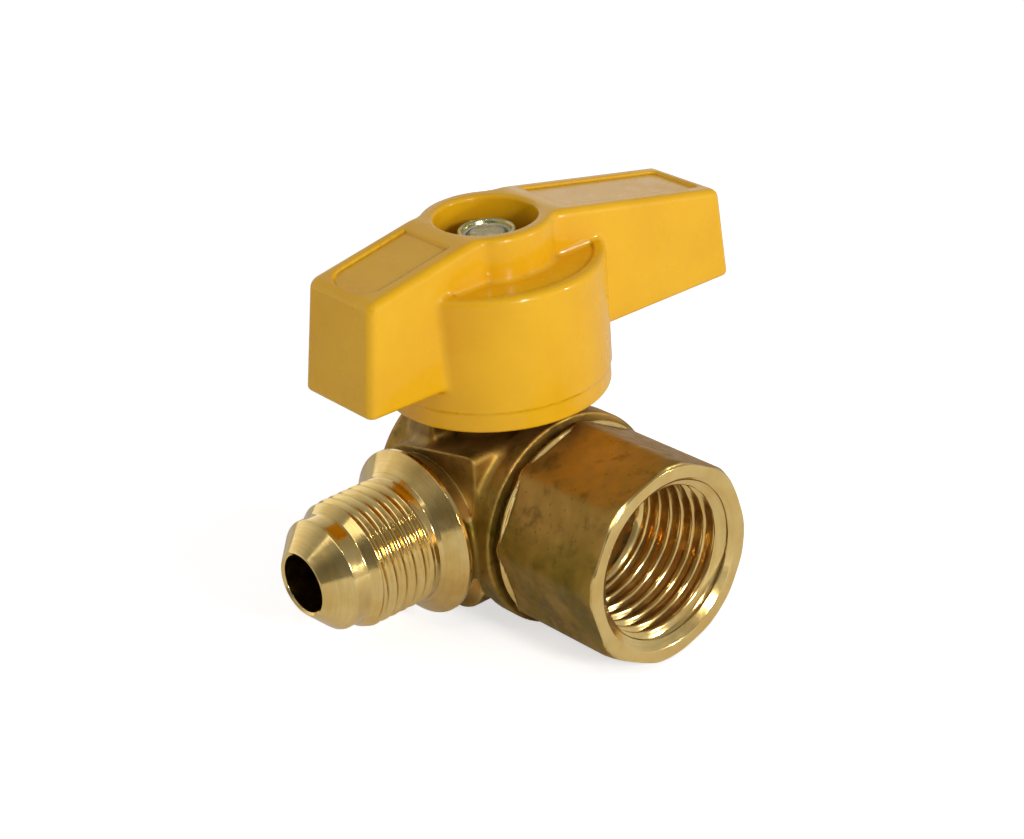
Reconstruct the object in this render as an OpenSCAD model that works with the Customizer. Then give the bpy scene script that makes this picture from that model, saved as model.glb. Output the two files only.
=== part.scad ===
// Angle-pattern gas ball valve: 1/2 in female pipe inlet, 3/8 in flare outlet, T-handle.
// The origin is on the inlet's axis at its first full thread.
// +X points out of the inlet, -Y out of the outlet and +Z up the stem.

/* [Inlet, 1/2-14 pipe thread] */
// From the ball's centre to the inlet's mouth
inlet_reach = 28.6; // [27:0.1:32]
// Width of the octagon across its flats
octagon_af = 24.0; // [23:0.1:27]
// Turn of the octagon about the inlet's axis, in degrees
octagon_turn = 6; // [0:1:45]
// Radius of the internal thread's crests
inlet_crest_r = 9.0; // [8.8:0.05:9.2]
// Radius of the internal thread's roots
inlet_root_r = 10.2; // [9.8:0.05:10.6]
// Pitch of the inlet's thread
inlet_pitch = 1.814; // [1.5:0.001:2.0]
// Number of thread turns in the inlet
inlet_turns = 8; // [6:1:8]
// Depth of the mouth's countersink
mouth_depth = 1.1; // [0.6:0.1:1.6]
// Radius of the mouth's countersink at the face
mouth_r = 10.7; // [10.4:0.1:11]

/* [Outlet, 3/8 in flare] */
// From the ball's centre to the flare's nose
outlet_reach = 31.6; // [30:0.1:36]
// Radius of the outlet's bore
outlet_bore_r = 3.57; // [3:0.01:4]
// Radius of the 5/8-18 thread's crests
outlet_crest_r = 7.9; // [7.7:0.05:8]
// Depth of the outlet's thread
outlet_thread_depth = 0.65; // [0.5:0.05:0.9]
// Pitch of the outlet's thread
outlet_pitch = 1.411; // [1.2:0.001:1.6]
// Number of thread turns on the outlet
outlet_turns = 5; // [4:1:6]
// Radius of the collar behind the thread
collar_r = 10.4; // [9.5:0.1:11]

/* [Body] */
// Radius of the barrel around the ball
barrel_r = 12.0; // [11.6:0.1:12.6]
// Radius of the socket ring that takes the end connector
socket_ring_r = 13.3; // [12.8:0.1:13.6]
// Half width of the square block behind the collar
block_half = 8.9; // [7.8:0.1:9.2]
// From the ball's centre to the front face of that block
block_front = 12.2; // [12:0.1:12.8]
// Height of the block above and below the ball's centre, in its middle
block_top = 10.0; // [9:0.1:11]
// Rise of the block's top for each millimetre towards the inlet
block_slope = 0.2; // [0:0.05:0.25]
// Width of the bevels on the block's other three long edges
block_bevel = 3; // [1:0.1:4]
// Outer radius of the neck around the stem
neck_r = 7.0; // [6.6:0.1:7.3]
// Height of the neck's top above the ball's centre
neck_top = 17.0; // [16.5:0.1:17.4]
// Outer radius of the stop lug on the neck
lug_r = 10.6; // [10:0.1:10.9]

/* [Ball and seats] */
// Radius of the ball
ball_r = 8.0; // [7.8:0.1:8.1]
// Radius of the ball's port
port_r = 4.3; // [3.8:0.1:4.4]
// Outer radius of each seat ring
seat_r = 7.6; // [7.2:0.1:7.8]
// Gap between the ball and what it turns in
ball_gap = 0.05; // [0.02:0.01:0.1]

/* [Stem] */
// Radius of the stem
stem_r = 3.2; // [3:0.05:3.4]
// Running gap around the stem
stem_gap = 0.04; // [0.02:0.01:0.08]
// Width across the stem's two flats
stem_flats = 5.2; // [5.1:0.1:5.6]
// Radius of the stem's threaded end
stem_thread_r = 2.5; // [2.4:0.1:2.6]

/* [Handle] */
// Radius of the handle's hub
hub_r = 13.8; // [13.4:0.1:14.2]
// Height of the hub's lower edge above the ball's centre
skirt_z = 14.3; // [14:0.1:15]
// Height of the hub's flat top above the ball's centre
hub_top = 31.0; // [30:0.1:32]
// Half width of the two wings
wing_half = 6.5; // [5.5:0.1:7.5]
// Length of the short wing, over the outlet
short_wing = 23.4; // [20:0.1:28]
// Length of the long wing
long_wing = 32.7; // [28:0.1:36]
// Height of the wings' underside above the ball's centre
wing_z = 19.6; // [18:0.1:21]
// Height of the handle's highest point above the ball's centre
handle_top = 36.0; // [35.8:0.1:37]
// Fall of the wings' top for each millimetre outwards
wing_fall = 0.195; // [0:0.005:0.25]
// How far the short wing's end leans back towards the top
short_lean = 1.9; // [0:0.1:3]
// How far the long wing's end leans back towards the top
long_lean = 1.1; // [0:0.1:3]
// Radius of the recess above the nut
recess_r = 6.1; // [5.6:0.1:6.6]
// Radius of the round boss around the recess
boss_r = 8.0; // [7.5:0.1:8.5]
// Turn of the open handle from the outlet's line, in degrees
handle_turn = -1.9; // [-4:0.1:4]

/* [Nut] */
// Width of the lock nut across its flats
nut_af = 8.0; // [7:0.1:8.5]
// Height of the lock nut's top above the ball's centre
nut_top = 34.2; // [33.8:0.1:35]

/* [Hidden] */
$fn = 96;

// Along the inlet, measured from the ball's centre
centre_x = mouth_depth - inlet_reach;
thread_start = inlet_reach - mouth_depth;
thread_end = thread_start - inlet_turns * inlet_pitch;
octagon_rear = 13.6;
octagon_flange_foot = 12.8;
octagon_flange_r = 12.6;
corner_bevel = 1.6;
face_bevel = 0.3;
socket_face = 11.8;
socket_floor = 6.2;
socket_ring_rear = 8.8;
socket_r = 10.2;
seal_depth = 0.8;
seal_r = 11.4;
collar_seam_r = 11.6;
seat_front = 4.8;
seat_rear = 8.8;
seat_bore_r = 4.5;
cavity_r = 8.5;
barrel_rear = 12.0;
barrel_chamfer = 1.8;
edge_chamfer = 0.6;

// Up the stem, measured from the ball's centre
slot_floor = 5.4;
slot_width = 3.1;
tang_width = 2.8;
tang_length = 7.0;
tang_foot = 5.6;
flange_foot = 8.15;
flange_top = 9.4;
flange_r = 4.6;
washer_top = 10.2;
packing_foot = 13.4;
packing_mid = 14.7;
packing_top = 16.0;
packing_r = 4.9;
gland_head_top = 20.2;
gland_af = 12.0;
hub_floor_z = 21.0;
recess_floor = 28.2;
skirt_wall = 2.2;
cavity_hub_r = hub_r - skirt_wall;
lock_washer_t = 1.0;
nut_foot = recess_floor + lock_washer_t;
nut_hex_top = nut_foot + 3.4;
nut_collar_r = 3.45;
nut_lip = 0.5;
insert_r = 2.95;
thread_gap = 0.05;
stem_end = nut_top - 0.4;
stem_chamfer = 0.5;

// O-ring on the stem
ring_z = 11.8;
ring_groove_r = 2.1;
ring_groove_w = 1.5;
stem_bore_r = stem_r + stem_gap;
ring_tube_r = (stem_bore_r - ring_groove_r) / 2 - 0.02;
ring_mid_r = (stem_bore_r + ring_groove_r) / 2 - 0.01;

// Quarter-turn stop: the lug fills one quadrant, the handle's rib the half turn opposite
lug_foot = 7.5;
lug_top = 17.0;
lug_from = -179;
lug_to = -91;
rib_foot = 14.9;
rib_inner_r = 7.6;
rib_from = 1;
rib_to = 179;

over = 1;

module at_ball() {
  translate([centre_x, 0, 0]) children();
}

// Turns a shape drawn around +Z so that its +Z points along +X
module along_x() {
  rotate([0, 90, 0]) children();
}

// Turns a shape drawn around +Z so that its +Z points along -Y
module along_outlet() {
  rotate([90, 0, 0]) children();
}

// Ring around +Z from z = from to z = to
module ring(outer_r, inner_r, from, to) {
  translate([0, 0, from])
    difference() {
      cylinder(r = outer_r, h = to - from);
      translate([0, 0, -over]) cylinder(r = inner_r, h = to - from + 2 * over);
    }
}

// Hexagonal prism given by its width across flats
module hex_prism(af, from, to) {
  translate([0, 0, from]) cylinder(r = af / 2 / cos(30), h = to - from, $fn = 6);
}

// Quarter or half ring between two angles, cut from a full ring by a fan-shaped prism
module ring_sector(outer_r, inner_r, from, to, start_deg, end_deg) {
  reach = 2 * outer_r;
  steps = 4;
  fan = [for (i = [0 : steps])
    let (a = start_deg + (end_deg - start_deg) * i / steps)
      [reach * cos(a), reach * sin(a)]];
  intersection() {
    ring(outer_r, inner_r, from, to);
    translate([0, 0, from - over])
      linear_extrude(to - from + 2 * over) polygon(concat([[0, 0]], fan));
  }
}

// Points [radius, height] of a row of V-grooves, with a short land between neighbours
function grooves(start, pitch, turns, crest_r, root_r) = [
  for (i = [0 : turns - 1])
    for (step = [[0.06, crest_r], [0.44, root_r], [0.56, root_r], [0.94, crest_r]])
      [step[1], start + (i + step[0]) * pitch]
];

// Outside of the flare end as a turned profile, from inside the block to the nose
module outlet_profile() {
  nose_r = 3.9;
  cone_r = 6.5;
  lead_r = 6.8;
  rim = 0.3;
  cone_foot = outlet_reach - 2.6;
  lead_foot = outlet_reach - 4.8;
  crest_end = outlet_reach - 6.1;
  thread_foot = crest_end - 0.2 - outlet_turns * outlet_pitch;
  relief_foot = outlet_reach - 14.9;
  collar_end = outlet_reach - 16.6;
  rotate_extrude()
    polygon(concat(
      [[0, 0], [collar_r - rim, 0], [collar_r - rim, block_front], [collar_r, block_front + rim]],
      [[collar_r, collar_end], [outlet_crest_r + rim, relief_foot]],
      [[outlet_crest_r, relief_foot + rim]],
      grooves(thread_foot, outlet_pitch, outlet_turns,
        outlet_crest_r, outlet_crest_r - outlet_thread_depth),
      [[outlet_crest_r, crest_end], [lead_r, lead_foot]],
      [[lead_r, cone_foot - rim], [cone_r, cone_foot]],
      [[nose_r, outlet_reach], [0, outlet_reach]]
    ));
}

// Block between the barrel and the collar, with a sloping top and three bevelled long edges
module outlet_block() {
  rise = block_slope * block_half;
  inner = block_half - block_bevel;
  along_outlet()
    linear_extrude(block_front)
      polygon([
        [-block_half, block_bevel - block_top],
        [-inner, -block_top],
        [inner, -block_top],
        [block_half, block_bevel - block_top],
        [block_half, block_top + rise],
        [-inner, block_top - block_slope * inner],
        [-block_half, block_top - rise - block_bevel]
      ]);
}

// Barrel around the ball with the larger socket ring at its open end
module barrel_profile() {
  rotate_extrude()
    polygon([
      [0, -barrel_rear],
      [barrel_r - barrel_chamfer, -barrel_rear],
      [barrel_r, barrel_chamfer - barrel_rear],
      [barrel_r, socket_ring_rear - edge_chamfer],
      [socket_ring_r, socket_ring_rear],
      [socket_ring_r, socket_face - edge_chamfer],
      [socket_ring_r - edge_chamfer, socket_face],
      [0, socket_face]
    ]);
}

// Forged body: barrel, outlet with its block and collar, neck and stop lug
module body() {
  color("darkgoldenrod")
    at_ball()
      difference() {
        union() {
          along_x() barrel_profile();
          along_outlet() outlet_profile();
          outlet_block();
          cylinder(r = neck_r, h = neck_top);
          ring_sector(lug_r, neck_r - over, lug_foot, lug_top, lug_from, lug_to);
        }
        along_x() {
          translate([0, 0, -seat_rear]) cylinder(r = seat_r + ball_gap, h = seat_rear);
          translate([0, 0, -(seat_rear + seat_front) / 2])
            cylinder(r = cavity_r, h = (seat_rear + seat_front) / 2 + socket_floor + over);
          translate([0, 0, socket_floor])
            cylinder(r = socket_r + thread_gap, h = socket_face);
          translate([0, 0, socket_face - seal_depth])
            cylinder(r = seal_r + thread_gap, h = seal_depth + over);
        }
        along_outlet() cylinder(r = outlet_bore_r, h = outlet_reach + over);
        cylinder(r = flange_r + 0.2, h = washer_top);
        cylinder(r = stem_bore_r, h = neck_top + over);
        translate([0, 0, packing_foot])
          cylinder(r = packing_r + thread_gap, h = neck_top);
      }
}

// Profile of the end connector's bore, from the seat pocket out to the mouth
module connector_bore() {
  step_r = 8.3;
  throat_end = seat_rear + 1.6;
  rotate_extrude()
    polygon(concat(
      [[0, 0], [seat_r + ball_gap, 0], [seat_r + ball_gap, seat_rear], [seat_bore_r, seat_rear]],
      [[seat_bore_r, throat_end], [step_r, throat_end + 1], [step_r, thread_end - 0.3]],
      [[inlet_crest_r, thread_end]],
      grooves(thread_end, inlet_pitch, inlet_turns, inlet_crest_r, inlet_root_r),
      [[inlet_crest_r, thread_start], [mouth_r, inlet_reach], [mouth_r, inlet_reach + over]],
      [[0, inlet_reach + over]]
    ));
}

// Thin round flange behind the octagon, sloping down to the flats
module connector_flange() {
  rotate_extrude()
    polygon([
      [0, octagon_flange_foot],
      [octagon_flange_r - edge_chamfer / 2, octagon_flange_foot],
      [octagon_flange_r, octagon_flange_foot + edge_chamfer / 2],
      [octagon_flange_r, octagon_rear - edge_chamfer / 2],
      [octagon_af / 2 - edge_chamfer, octagon_rear + edge_chamfer],
      [0, octagon_rear + edge_chamfer]
    ]);
}

// Octagonal end connector that screws into the body and holds the inlet seat
module end_connector() {
  corner_r = octagon_af / 2 / cos(22.5);
  octagon_length = inlet_reach - octagon_rear + edge_chamfer / 2;
  color("peru")
    at_ball()
      rotate([-octagon_turn, 0, 0])
        along_x()
          difference() {
            union() {
              translate([0, 0, socket_floor + 0.1])
                cylinder(r = socket_r, h = socket_face - socket_floor);
              translate([0, 0, socket_face])
                cylinder(r = collar_seam_r, h = octagon_rear - socket_face);
              connector_flange();
              intersection() {
                translate([0, 0, octagon_rear - edge_chamfer / 2])
                  cylinder(r = corner_r, h = octagon_length, $fn = 8);
                rotate_extrude()
                  polygon([
                    [0, octagon_flange_foot],
                    [corner_r + edge_chamfer, octagon_flange_foot],
                    [corner_r, inlet_reach - corner_bevel],
                    [octagon_af / 2 + face_bevel, inlet_reach - face_bevel],
                    [octagon_af / 2, inlet_reach],
                    [0, inlet_reach]
                  ]);
              }
            }
            connector_bore();
          }
}

// Flat sealing ring pinched between the connector's collar and the body
module connector_seal() {
  color("whitesmoke")
    at_ball() along_x() ring(seal_r, socket_r + thread_gap, socket_face - seal_depth, socket_face);
}

// Ball with an angled port: one leg to the inlet, one to the outlet, and the stem's slot
module ball() {
  color("silver")
    at_ball()
      difference() {
        sphere(r = ball_r);
        sphere(r = port_r);
        along_x() cylinder(r = port_r, h = ball_r + over);
        along_outlet() cylinder(r = port_r, h = ball_r + over);
        translate([-slot_width / 2, -ball_r, slot_floor])
          cube([slot_width, 2 * ball_r, ball_r]);
      }
}

// One PTFE seat ring with its hollow face towards the ball
module seat() {
  difference() {
    along_x() ring(seat_r, seat_bore_r, seat_front, seat_rear);
    sphere(r = ball_r + ball_gap);
  }
}

module seat_inlet() {
  color("ivory") at_ball() seat();
}

module seat_back() {
  color("ivory") at_ball() mirror([1, 0, 0]) seat();
}

// Stem as a turned blank: flange, shaft with the O-ring's groove, and the threaded end
module stem_blank() {
  groove_half = ring_groove_w / 2;
  rotate_extrude()
    polygon([
      [0, flange_foot],
      [flange_r, flange_foot],
      [flange_r, flange_top],
      [stem_r, flange_top],
      [stem_r, ring_z - groove_half],
      [ring_groove_r, ring_z - groove_half],
      [ring_groove_r, ring_z + groove_half],
      [stem_r, ring_z + groove_half],
      [stem_r, recess_floor],
      [stem_thread_r, recess_floor],
      [stem_thread_r, stem_end - stem_chamfer],
      [stem_thread_r - stem_chamfer, stem_end],
      [0, stem_end]
    ]);
}

// Stem: tang in the ball's slot, flange that can't blow out, two flats for the handle
module stem() {
  color("goldenrod")
    at_ball() {
      difference() {
        stem_blank();
        rotate([0, 0, handle_turn])
          for (side = [-1, 1])
            translate([side * (stem_flats + stem_r) / 2, 0, (hub_floor_z + stem_end) / 2])
              cube([stem_r, 2 * hub_r, stem_end - hub_floor_z], center = true);
      }
      intersection() {
        translate([-tang_width / 2, -tang_length, tang_foot])
          cube([tang_width, 2 * tang_length, flange_foot - tang_foot]);
        cylinder(r = tang_length / 2, h = flange_foot);
      }
    }
}

// Slippery washer between the stem's flange and the neck's inner shoulder
module thrust_washer() {
  color("ivory") at_ball() ring(flange_r, stem_r + thread_gap, flange_top, washer_top);
}

module stem_o_ring() {
  color("dimgray")
    at_ball()
      translate([0, 0, ring_z])
        rotate_extrude() translate([ring_mid_r, 0]) circle(r = ring_tube_r, $fn = 32);
}

// One ring of stem packing
module packing(from, to) {
  color("ivory") at_ball() ring(packing_r, stem_bore_r, from, to);
}

// Hexagon-headed gland that is screwed into the neck and squeezes the packing
module gland_nut() {
  color("khaki")
    at_ball()
      difference() {
        union() {
          translate([0, 0, packing_top]) cylinder(r = packing_r, h = neck_top - packing_top + over);
          hex_prism(gland_af, neck_top, gland_head_top);
        }
        cylinder(r = stem_bore_r, h = hub_floor_z);
      }
}

// Side outline of both wings, in the plane of the handle's length
module wing_outline() {
  flat_half = 6;
  tip_bevel = 1.1;
  roof = function (y) handle_top - wing_fall * (abs(y) - flat_half);
  short_tip = short_wing - short_lean;
  long_tip = long_wing - long_lean;
  polygon([
    [-short_wing, wing_z],
    [long_wing, wing_z],
    [long_tip, roof(long_tip) - tip_bevel],
    [long_tip - tip_bevel, roof(long_tip)],
    [flat_half, handle_top],
    [-flat_half, handle_top],
    [tip_bevel - short_tip, roof(short_tip)],
    [-short_tip, roof(short_tip) - tip_bevel]
  ]);
}

// T-handle: hollow hub with the stop rib inside, two wings and a recess for the nut
module handle() {
  color("gold")
    at_ball()
      rotate([0, 0, handle_turn])
        difference() {
          union() {
            translate([0, 0, skirt_z]) cylinder(r = hub_r, h = hub_top - skirt_z);
            translate([0, 0, wing_z]) cylinder(r = boss_r, h = handle_top - wing_z);
            translate([-wing_half, 0, 0])
              rotate([90, 0, 90]) linear_extrude(2 * wing_half) wing_outline();
          }
          difference() {
            translate([0, 0, skirt_z - over])
              cylinder(r = cavity_hub_r, h = hub_floor_z - skirt_z + over);
            ring_sector(hub_r, rib_inner_r, rib_foot, hub_floor_z + over, rib_from, rib_to);
          }
          translate([0, 0, recess_floor]) cylinder(r = recess_r, h = handle_top);
          intersection() {
            cylinder(r = stem_r + thread_gap, h = handle_top);
            translate([-stem_flats / 2 - thread_gap, -hub_r, 0])
              cube([stem_flats + 2 * thread_gap, 2 * hub_r, handle_top]);
          }
        }
}

// Split spring washer under the nut
module lock_washer() {
  gap = 0.8;
  color("lightgray")
    at_ball()
      difference() {
        ring(nut_af / 2 + 0.4, stem_thread_r + thread_gap, recess_floor, nut_foot);
        translate([stem_thread_r / 2, -gap / 2, recess_floor - over])
          cube([nut_af, gap, lock_washer_t + 2 * over]);
      }
}

// Lock nut: hexagon below, round crimped collar above that holds the insert
module lock_nut() {
  collar_foot = nut_hex_top;
  color("yellowgreen")
    at_ball()
      difference() {
        union() {
          hex_prism(nut_af, nut_foot, nut_hex_top);
          translate([0, 0, collar_foot]) cylinder(r = nut_collar_r, h = nut_top - collar_foot);
        }
        translate([0, 0, nut_foot - over])
          cylinder(r = stem_thread_r + thread_gap, h = nut_top);
        translate([0, 0, collar_foot])
          cylinder(r = insert_r, h = nut_top - nut_lip - collar_foot);
      }
}

// Nylon ring inside the lock nut's collar
module nut_insert() {
  color("white")
    at_ball() ring(insert_r, stem_thread_r + thread_gap, nut_hex_top, nut_top - nut_lip);
}

body();
end_connector();
connector_seal();
ball();
seat_inlet();
seat_back();
stem();
thrust_washer();
stem_o_ring();
packing(packing_foot, packing_mid);  // packing_lower
packing(packing_mid, packing_top);  // packing_upper
gland_nut();
handle();
lock_washer();
lock_nut();
nut_insert();
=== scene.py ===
import math
from itertools import product

import bpy
import numpy as np
from mathutils import Matrix, Vector


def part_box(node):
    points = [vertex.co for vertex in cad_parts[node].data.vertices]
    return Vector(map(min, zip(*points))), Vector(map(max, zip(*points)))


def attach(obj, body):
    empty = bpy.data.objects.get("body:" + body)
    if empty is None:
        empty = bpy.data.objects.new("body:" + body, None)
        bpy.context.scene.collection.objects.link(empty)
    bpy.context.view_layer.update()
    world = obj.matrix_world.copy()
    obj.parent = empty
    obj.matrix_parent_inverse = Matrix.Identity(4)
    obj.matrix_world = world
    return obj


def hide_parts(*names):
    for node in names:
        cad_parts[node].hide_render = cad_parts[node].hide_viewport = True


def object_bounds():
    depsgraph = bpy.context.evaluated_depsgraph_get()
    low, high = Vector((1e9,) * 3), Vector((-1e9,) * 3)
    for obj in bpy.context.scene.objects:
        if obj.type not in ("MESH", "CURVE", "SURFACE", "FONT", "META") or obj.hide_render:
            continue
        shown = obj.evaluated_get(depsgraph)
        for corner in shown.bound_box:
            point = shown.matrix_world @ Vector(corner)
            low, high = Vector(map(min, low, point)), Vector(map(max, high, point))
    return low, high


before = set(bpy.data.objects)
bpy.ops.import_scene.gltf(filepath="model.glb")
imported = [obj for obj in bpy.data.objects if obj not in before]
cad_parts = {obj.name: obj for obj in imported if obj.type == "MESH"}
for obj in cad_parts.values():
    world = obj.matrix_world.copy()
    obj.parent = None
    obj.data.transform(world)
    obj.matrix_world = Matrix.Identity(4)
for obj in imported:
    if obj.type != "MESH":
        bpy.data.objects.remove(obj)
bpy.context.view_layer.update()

# Shapes are worked out in millimetres from the ball's centre: +X out of the inlet,
# -Y out of the outlet and +Z up the stem. placed() turns them into the frame's metres.
MM = 0.001
STEM_LOW, STEM_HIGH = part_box("stem")
BALL_CENTRE = np.array([(STEM_LOW.x + STEM_HIGH.x) / 2, (STEM_LOW.y + STEM_HIGH.y) / 2, 0.0])


def reach(node, axis, side):
    """How far a node's box reaches from the ball's centre along an axis, in millimetres."""
    return abs(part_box(node)[side][axis] - BALL_CENTRE[axis]) / MM


INLET_REACH = reach("end_connector", 0, 1)
OUTLET_REACH = reach("body", 1, 0)
HANDLE_TOP = reach("handle", 2, 1)
SKIRT_Z = reach("handle", 2, 0)
NUT_TOP = reach("lock_nut", 2, 1)
NUT_FOOT = reach("lock_nut", 2, 0)
CELL = 0.3
MARGIN = 0.7
TINY = 1e-9


# ---------------------------------------------------------------- distances and blends

def round_max(a, b, radius):
    """Where two solids overlap, with the edge between them rounded to this radius."""
    corner = np.hypot(np.maximum(a + radius, 0), np.maximum(b + radius, 0))
    return np.minimum(np.maximum(a, b), -radius) + corner


def round_min(a, b, radius):
    """Two solids joined, with a fillet of this radius in the corner between them."""
    return -round_max(-a, -b, radius)


def slab(value, low, high):
    return np.maximum(low - value, value - high)


def chamfer(a, b, leg):
    """Distance to the plane that cuts the corner between two faces at 45 degrees."""
    return (a + b + leg) / math.sqrt(2)


def soft_min(a, b, reach_mm):
    """The smaller of two values, blended where they are closer than reach_mm."""
    mix = np.clip(0.5 + 0.5 * (b - a) / reach_mm, 0, 1)
    return b + (a - b) * mix - reach_mm * mix * (1 - mix)


def fade(value, start, end):
    """0 up to start and 1 from end on, with a soft rise between them."""
    share = np.clip((value - start) / (end - start), 0, 1)
    return share * share * (3 - 2 * share)


# ---------------------------------------------------------------- meshes

def placed(points):
    return np.asarray(points) * MM + BALL_CENTRE


def face_areas(points, faces):
    a, b, c, d = (points[faces[:, i]] for i in range(4))
    return np.cross(c - a, d - b) / 2


def vertex_normals(points, faces):
    """Normals weighted by face area, so that broad faces stay flat up to their rounded edges."""
    areas = face_areas(points, faces)
    normals = np.zeros_like(points)
    for corner in range(4):
        np.add.at(normals, faces[:, corner], areas)
    return normals / np.maximum(np.linalg.norm(normals, axis=1, keepdims=True), TINY)


def bending(points, faces, normals):
    """How sharply the surface bends at each vertex, in 1/mm: above 0 on an edge, below 0 in a corner."""
    total = np.zeros(len(points))
    count = np.zeros(len(points))
    for i in range(4):
        a, b = faces[:, i], faces[:, (i + 1) % 4]
        step = points[b] - points[a]
        turn = ((normals[b] - normals[a]) * step).sum(1) / np.maximum((step * step).sum(1), TINY)
        for side in (a, b):
            np.add.at(total, side, turn)
            np.add.at(count, side, 1)
    return total / np.maximum(count, 1)


def new_piece(name, points, faces, material, normals=None, masks=None):
    """Smooth mesh object from points in millimetres.
    Its edge attribute is the bending, and masks are more attributes."""
    faces = facing_out(points, faces)
    if normals is None:
        normals = vertex_normals(points, faces)
    mesh = bpy.data.meshes.new(name)
    mesh.from_pydata(placed(points).tolist(), [], faces.tolist())
    mesh.materials.append(material)
    mesh.polygons.foreach_set("use_smooth", np.ones(len(faces), bool))
    for label, values in {"edge": bending(points, faces, normals), **(masks or {})}.items():
        attribute = mesh.attributes.new(label, "FLOAT", "POINT")
        attribute.data.foreach_set("value", np.asarray(values, np.float32))
    mesh.normals_split_custom_set_from_vertices(normals.tolist())
    mesh.update()
    piece = bpy.data.objects.new(name, mesh)
    bpy.context.scene.collection.objects.link(piece)
    return piece


def gradient(distance, points, step=0.04):
    """Slope of distance at the points, from its values a step away on both sides."""
    out = np.zeros_like(points)
    for axis in range(3):
        shift = np.zeros(3)
        shift[axis] = step
        above, below = points + shift, points - shift
        out[:, axis] = (distance(*above.T) - distance(*below.T)) / (2 * step)
    return out


def corner_slices(counts, offsets):
    return tuple(slice(o, n - 1 + o) for o, n in zip(offsets, counts))


def net(distance, low, high, cell=CELL):
    """Points, quads and normals of the surface where distance is zero: one point in each
    grid cell that the surface crosses, moved onto the surface along the gradient."""
    counts = [int(math.ceil((b - a) / cell)) + 1 for a, b in zip(low, high)]
    axes = [a + cell * np.arange(n) for a, n in zip(low, counts)]
    field = distance(*np.meshgrid(*axes, indexing="ij"))
    inside = field < 0
    full = sum(inside[corner_slices(counts, o)].astype(np.int8) for o in product((0, 1), repeat=3))
    active = (full > 0) & (full < 8)
    index = np.full(active.shape, -1)
    index[active] = np.arange(active.sum())
    cells = np.argwhere(active)
    total = np.zeros((len(cells), 3))
    crossings = np.zeros((len(cells), 1))
    for axis in range(3):
        others = [i for i in range(3) if i != axis]
        for offset in product((0, 1), repeat=2):
            start = cells.copy()
            start[:, others] += offset
            end = start.copy()
            end[:, axis] += 1
            a, b = field[tuple(start.T)], field[tuple(end.T)]
            crossed = (a < 0) != (b < 0)
            share = np.where(crossed, a / np.where(crossed, a - b, 1), 0)
            spot = start.astype(float)
            spot[:, axis] += share
            total += spot * crossed[:, None]
            crossings += crossed[:, None]
    points = np.array(low) + cell * total / np.maximum(crossings, 1)
    first = points.copy()
    for _ in range(4):
        slope = gradient(distance, points)
        value = distance(*points.T)
        points = points - slope * (value / np.maximum((slope * slope).sum(1), 0.2))[:, None]
        points = first + np.clip(points - first, -0.6 * cell, 0.6 * cell)
    quads = []
    for axis in range(3):
        lower = [slice(None)] * 3
        upper = [slice(None)] * 3
        lower[axis], upper[axis] = slice(0, -1), slice(1, None)
        low_in = inside[tuple(lower)]
        at = np.argwhere(low_in != inside[tuple(upper)])
        b, c = (axis + 1) % 3, (axis + 2) % 3
        ring = []
        for back_b, back_c in ((0, 0), (1, 0), (1, 1), (0, 1)):
            spot = at.copy()
            spot[:, b] -= back_b
            spot[:, c] -= back_c
            ring.append(index[tuple(spot.T)])
        ring = np.stack(ring, 1)
        outward = low_in[tuple(at.T)]
        quads.append(np.where(outward[:, None], ring, ring[:, ::-1]))
    slope = gradient(distance, points)
    normals = slope / np.maximum(np.linalg.norm(slope, axis=1, keepdims=True), TINY)
    return points, np.concatenate(quads), normals


def rounded(outline, radius, steps=4):
    """An outline's points with each corner replaced by an arc. A point may carry a radius of its own."""
    out = []
    for i, spot in enumerate(outline):
        here = np.array(spot[:2], float)
        if i in (0, len(outline) - 1):
            out.append(here)
            continue
        size = spot[2] if len(spot) > 2 else radius
        back = np.array(outline[i - 1][:2], float) - here
        ahead = np.array(outline[i + 1][:2], float) - here
        back_len, ahead_len = np.linalg.norm(back), np.linalg.norm(ahead)
        back, ahead = back / back_len, ahead / ahead_len
        half = math.acos(np.clip(back @ ahead, -1, 1)) / 2
        cut = min(size / math.tan(half), 0.45 * back_len, 0.45 * ahead_len)
        if half > 1.55 or cut < 1e-4:
            out.append(here)
            continue
        size = cut * math.tan(half)
        inward = (back + ahead) / np.linalg.norm(back + ahead)
        centre = here + inward * size / math.sin(half)
        start = here + back * cut - centre
        end = here + ahead * cut - centre
        for k in range(steps + 1):
            blend = start * (1 - k / steps) + end * k / steps
            out.append(centre + blend * size / np.linalg.norm(blend))
    return np.array(out)


def spaced(outline, step):
    """The outline with points added wherever two neighbours are further apart than step."""
    out = [outline[0]]
    for a, b in zip(outline[:-1], outline[1:]):
        parts = max(1, int(math.ceil(np.linalg.norm(b - a) / step)))
        out += [a + (b - a) * k / parts for k in range(1, parts + 1)]
    return np.array(out)


def ring_grid(rows, columns, closed):
    """Quads of a grid of rings that close on themselves. closed joins the last ring to the first."""
    r = np.arange(rows if closed else rows - 1)[:, None]
    c = np.arange(columns)[None, :]
    r2, c2 = (r + 1) % rows, (c + 1) % columns
    corners = (r * columns + c, r2 * columns + c, r2 * columns + c2, r * columns + c2)
    return np.stack([k.ravel() for k in np.broadcast_arrays(*corners)], 1)


def around_once(columns):
    """Evenly spaced angles of a full turn, as one row."""
    return np.linspace(0, 2 * math.pi, columns, endpoint=False)[None, :]


def turned_points(along, radius, angles, direction):
    """Points of rings around the inlet's, the outlet's or the stem's axis."""
    along = np.broadcast_to(along, radius.shape)
    side, up = radius * np.cos(angles), radius * np.sin(angles)
    if direction == "inlet":
        grid = (along, -side, up)
    elif direction == "outlet":
        grid = (side, -along, up)
    else:
        grid = (side, up, along)
    return np.stack(grid, -1).reshape(-1, 3)


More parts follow.
